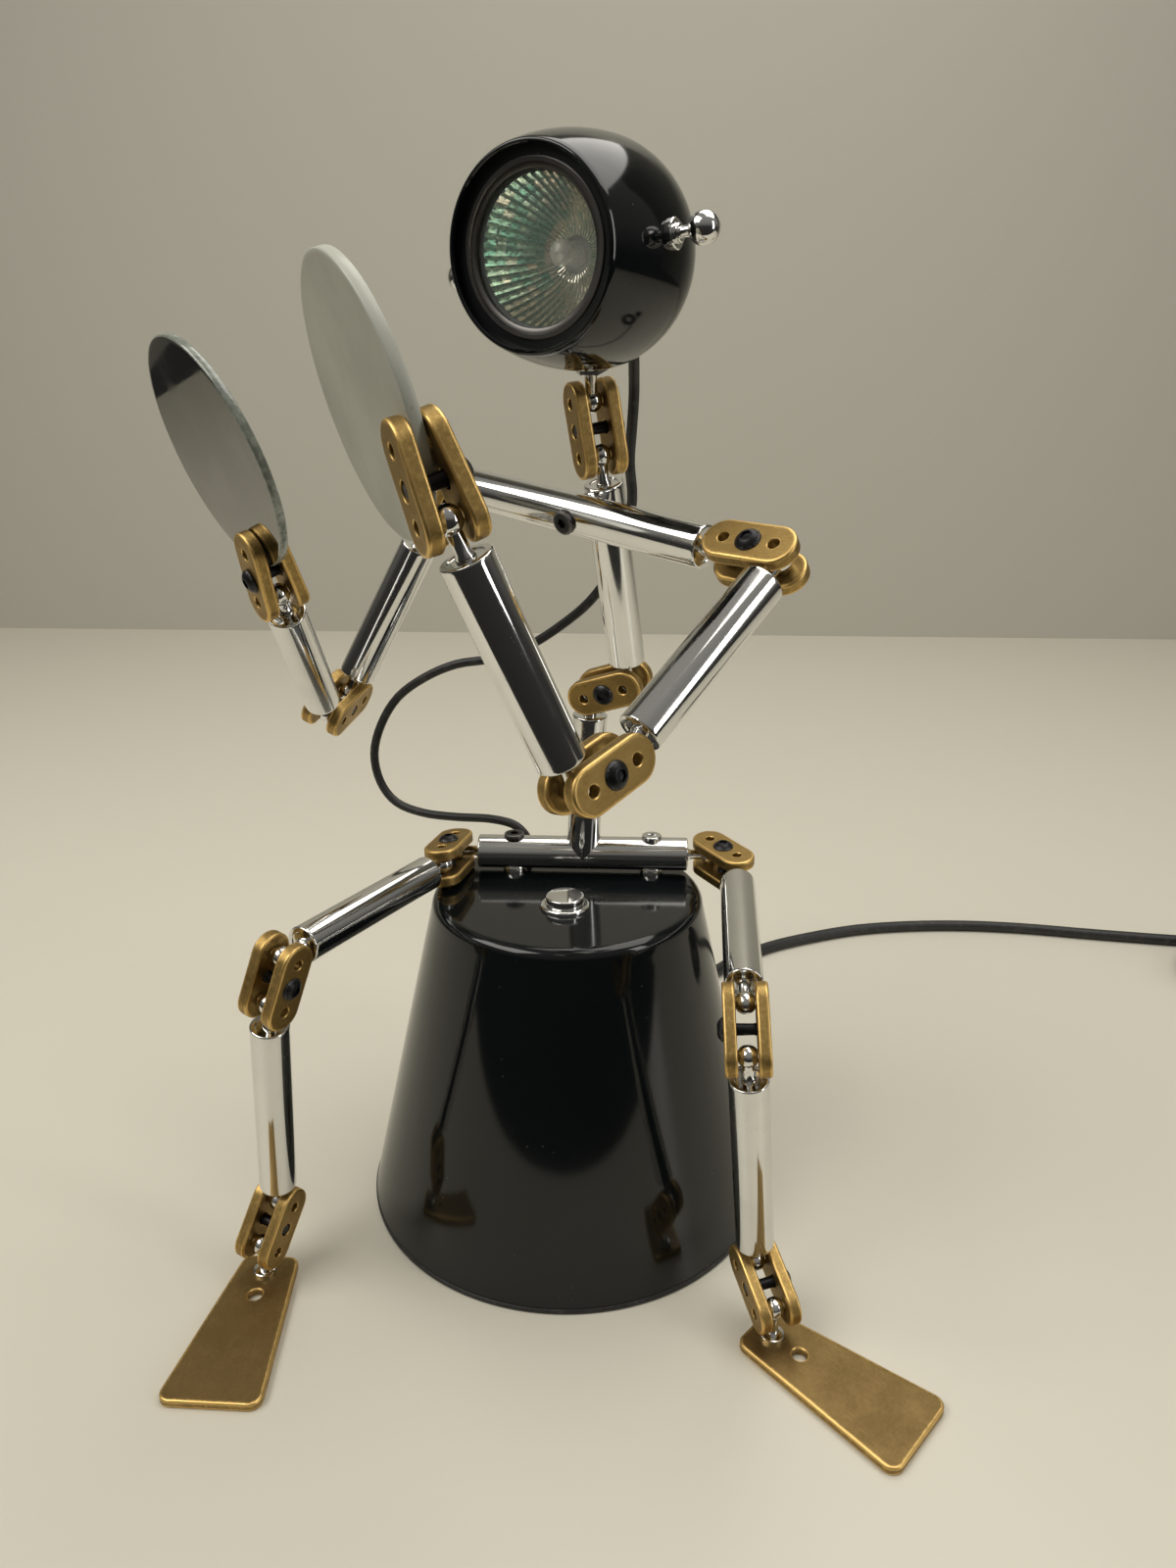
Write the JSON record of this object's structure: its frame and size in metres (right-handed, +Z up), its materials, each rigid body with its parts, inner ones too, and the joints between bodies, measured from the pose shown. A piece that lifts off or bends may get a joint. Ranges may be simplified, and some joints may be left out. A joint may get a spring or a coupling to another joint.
{
  "type": "robot shaped desk lamp",
  "caption": "Desk lamp shaped as a robot that sits on a tapered can: tube limbs in brass ball clamps, halogen head, glass disc hands, push switch",
  "frame": {"origin": "middle of the can's pad, on the table", "axes": "+Z up along the can's axis, -Y is the way the robot faces, +X to its left"},
  "size_m": [0.7549, 0.4668, 0.4571],
  "materials": {
    "enamel": "gloss black stoving enamel",
    "brass": "brushed, aged brass with bright filed edges",
    "chrome": "polished chrome, lightly worn",
    "black_steel": "black oxide",
    "black_rubber": "satin black",
    "steel": "plain sheet and laminations",
    "mirror": "grey mirror glass with a bare edge",
    "frosted_glass": "satin glass",
    "lamp_glass": "faceted reflector behind clear glass"
  },
  "bodies": {
    "base": {"base_shell": "enamel", "base_plate": "steel", "foot_pad": "black_rubber", "transformer": "steel", "switch_body": "chrome", "pelvis_bar": "chrome", "pelvis_bar_screws": "black_steel", "cord_glands": "black_rubber", "lamp_lead": "black_rubber", "mains_cord": "black_rubber", "mains_coil": "black_rubber", "mains_plug": "black_rubber"},
    "button": {"switch_button": "chrome"},
    "waist_clamp": {"waist_plates": "brass", "waist_screw": "black_steel"},
    "torso": {"torso": "chrome"},
    "shoulder_bar": {"shoulder_bar": "chrome"},
    "neck_clamp": {"neck_plates": "brass", "neck_screw": "black_steel"},
    "head": {"head_shell": "enamel", "head_stem": "chrome", "lamp_ring": "enamel", "halogen_lamp": "lamp_glass", "ear_knobs": "chrome"},
    "right_shoulder_clamp": {"right_shoulder_plates": "brass", "right_shoulder_screw": "black_steel"},
    "right_upper_arm": {"right_upper_arm": "chrome"},
    "right_elbow_clamp": {"right_elbow_plates": "brass", "right_elbow_screw": "black_steel"},
    "right_forearm": {"right_forearm": "chrome"},
    "right_hand": {"right_wrist_plates": "brass", "right_wrist_screw": "black_steel", "mirror_disc": "mirror"},
    "right_hip_clamp": {"right_hip_plates": "brass", "right_hip_screw": "black_steel"},
    "right_thigh": {"right_thigh": "chrome"},
    "right_knee_clamp": {"right_knee_plates": "brass", "right_knee_screw": "black_steel"},
    "right_shin": {"right_shin": "chrome"},
    "right_ankle_clamp": {"right_ankle_plates": "brass", "right_ankle_screw": "black_steel"},
    "right_foot": {"right_foot": "brass"},
    "left_shoulder_clamp": {"left_shoulder_plates": "brass", "left_shoulder_screw": "black_steel"},
    "left_upper_arm": {"left_upper_arm": "chrome"},
    "left_elbow_clamp": {"left_elbow_plates": "brass", "left_elbow_screw": "black_steel"},
    "left_forearm": {"left_forearm": "chrome"},
    "left_hand": {"left_wrist_plates": "brass", "left_wrist_screw": "black_steel", "frosted_disc": "frosted_glass"},
    "left_hip_clamp": {"left_hip_plates": "brass", "left_hip_screw": "black_steel"},
    "left_thigh": {"left_thigh": "chrome"},
    "left_knee_clamp": {"left_knee_plates": "brass", "left_knee_screw": "black_steel"},
    "left_shin": {"left_shin": "chrome"},
    "left_ankle_clamp": {"left_ankle_plates": "brass", "left_ankle_screw": "black_steel"},
    "left_foot": {"left_foot": "brass"}
  },
  "joints": [
    {"name": "button_press", "type": "slide", "parent": "base", "child": "button", "axis": [0, 0, -1], "range_m": [0, 0.0025], "stiffness_N_per_m": 400},
    {"name": "waist_turn", "type": "hinge", "parent": "base", "child": "waist_clamp", "pos_m": [0.0103, 0.01426, 0.24774], "axis": [0.0491, -0.0923, 0.9945], "range_deg": [-45, 45], "deforming": ["lamp_lead"]},
    {"name": "waist_bend", "type": "hinge", "parent": "waist_clamp", "child": "torso", "pos_m": [0.02751, 0.00642, 0.25425], "axis": [-0.344, -0.9181, -0.1966], "range_deg": [-15, 20], "deforming": ["lamp_lead"]},
    {"name": "shoulders_swivel", "type": "hinge", "parent": "torso", "child": "shoulder_bar", "pos_m": [0.00655, -0.03065, 0.32972], "axis": [-0.6171, -0.7257, -0.3042], "range_deg": [-15, 15]},
    {"name": "neck_nod", "type": "hinge", "parent": "torso", "child": "neck_clamp", "pos_m": [0.0148, -0.02352, 0.35145], "axis": [0.9149, 0.3772, 0.144], "range_deg": [-25, 25], "deforming": ["lamp_lead"]},
    {"name": "head_turn", "type": "hinge", "parent": "neck_clamp", "child": "head", "pos_m": [0.0114, -0.0228, 0.37115], "axis": [-0.0213, -0.3805, 0.9245], "range_deg": [-60, 60], "deforming": ["lamp_lead"]},
    {"name": "right_shoulder_turn", "type": "hinge", "parent": "shoulder_bar", "child": "right_shoulder_clamp", "pos_m": [-0.05088, 0.01422, 0.33919], "axis": [0.7814, -0.6105, -0.1288], "range_deg": [-45, 15]},
    {"name": "right_upper_arm_swing", "type": "hinge", "parent": "right_shoulder_clamp", "child": "right_upper_arm", "pos_m": [-0.05945, 0.0116, 0.32131], "axis": [-0.6359, -0.6594, 0.4011], "range_deg": [-45, 45]},
    {"name": "right_elbow_fold", "type": "hinge", "parent": "right_upper_arm", "child": "right_elbow_clamp", "pos_m": [-0.10466, 0.02869, 0.24244], "axis": [-0.9037, 0.1485, 0.4017], "range_deg": [-45, 20]},
    {"name": "right_forearm_swing", "type": "hinge", "parent": "right_elbow_clamp", "child": "right_forearm", "pos_m": [-0.10993, 0.01005, 0.23746], "axis": [-0.9037, 0.1485, 0.4017], "range_deg": [-45, 30]},
    {"name": "right_hand_turn", "type": "hinge", "parent": "right_forearm", "child": "right_hand", "pos_m": [-0.10662, -0.05317, 0.30143], "axis": [0.0368, -0.7024, 0.7108], "range_deg": [-90, 90]},
    {"name": "right_hip_swing", "type": "hinge", "parent": "base", "child": "right_hip_clamp", "pos_m": [-0.055, 0.02187, 0.16569], "axis": [-0.0596, 0.0635, 0.9962], "range_deg": [-15, 25]},
    {"name": "right_thigh_swing", "type": "hinge", "parent": "right_hip_clamp", "child": "right_thigh", "pos_m": [-0.05847, 0.00221, 0.16673], "axis": [-0.0596, 0.0635, 0.9962], "range_deg": [-15, 40]},
    {"name": "right_knee_fold", "type": "hinge", "parent": "right_thigh", "child": "right_knee_clamp", "pos_m": [-0.10754, -0.08632, 0.16438], "axis": [0.8655, -0.4719, -0.1682], "range_deg": [-45, 0]},
    {"name": "right_shin_swing", "type": "hinge", "parent": "right_knee_clamp", "child": "right_shin", "pos_m": [-0.11341, -0.09044, 0.14571], "axis": [0.8655, -0.4719, -0.1682], "range_deg": [-45, 0]},
    {"name": "right_ankle_bend", "type": "hinge", "parent": "right_shin", "child": "right_ankle_clamp", "pos_m": [-0.1251, -0.07243, 0.03527], "axis": [-0.9084, 0.4024, 0.1132], "range_deg": [0, 45]},
    {"name": "right_foot_turn", "type": "hinge", "parent": "right_ankle_clamp", "child": "right_foot", "pos_m": [-0.1312, -0.08146, 0.0185], "axis": [0, 0, 1], "range_deg": [-90, 50]},
    {"name": "left_shoulder_turn", "type": "hinge", "parent": "shoulder_bar", "child": "left_shoulder_clamp", "pos_m": [0.06243, -0.07431, 0.32051], "axis": [0.7814, -0.6105, -0.1288], "range_deg": [-35, 45]},
    {"name": "left_upper_arm_swing", "type": "hinge", "parent": "left_shoulder_clamp", "child": "left_upper_arm", "pos_m": [0.07817, -0.08661, 0.31957], "axis": [-0.3927, -0.5586, 0.7305], "range_deg": [-10, 45]},
    {"name": "left_elbow_fold", "type": "hinge", "parent": "left_upper_arm", "child": "left_elbow_clamp", "pos_m": [0.0243, -0.13827, 0.26494], "axis": [0.6847, -0.701, 0.1993], "range_deg": [-25, 45]},
    {"name": "left_forearm_swing", "type": "hinge", "parent": "left_elbow_clamp", "child": "left_forearm", "pos_m": [0.01142, -0.15247, 0.25922], "axis": [0.6847, -0.701, 0.1993], "range_deg": [-20, 45]},
    {"name": "left_hand_turn", "type": "hinge", "parent": "left_forearm", "child": "left_hand", "pos_m": [-0.02066, -0.17291, 0.34079], "axis": [-0.3564, -0.2271, 0.9063], "range_deg": [-90, 90]},
    {"name": "left_hip_swing", "type": "hinge", "parent": "base", "child": "left_hip_clamp", "pos_m": [0.0675, 0.02187, 0.16569], "axis": [-0.0458, -0.1168, 0.9921], "range_deg": [-5, 45]},
    {"name": "left_thigh_swing", "type": "hinge", "parent": "left_hip_clamp", "child": "left_thigh", "pos_m": [0.07894, 0.00553, 0.16429], "axis": [-0.0458, -0.1168, 0.9921], "range_deg": [-5, 45]},
    {"name": "left_knee_fold", "type": "hinge", "parent": "left_thigh", "child": "left_knee_clamp", "pos_m": [0.07368, -0.095, 0.15346], "axis": [-0.9952, 0.0573, -0.08], "range_deg": [0, 45]},
    {"name": "left_shin_swing", "type": "hinge", "parent": "left_knee_clamp", "child": "left_shin", "pos_m": [0.07413, -0.10811, 0.13837], "axis": [-0.9952, 0.0573, -0.08], "range_deg": [-5, 45]},
    {"name": "left_ankle_bend", "type": "hinge", "parent": "left_shin", "child": "left_ankle_clamp", "pos_m": [0.08449, -0.09155, 0.02758], "axis": [0.9442, 0.3201, 0.0777], "range_deg": [-35, 0]},
    {"name": "left_foot_turn", "type": "hinge", "parent": "left_ankle_clamp", "child": "left_foot", "pos_m": [0.09087, -0.10818, 0.0185], "axis": [0, 0, 1], "range_deg": [-90, 90]}
  ]
}
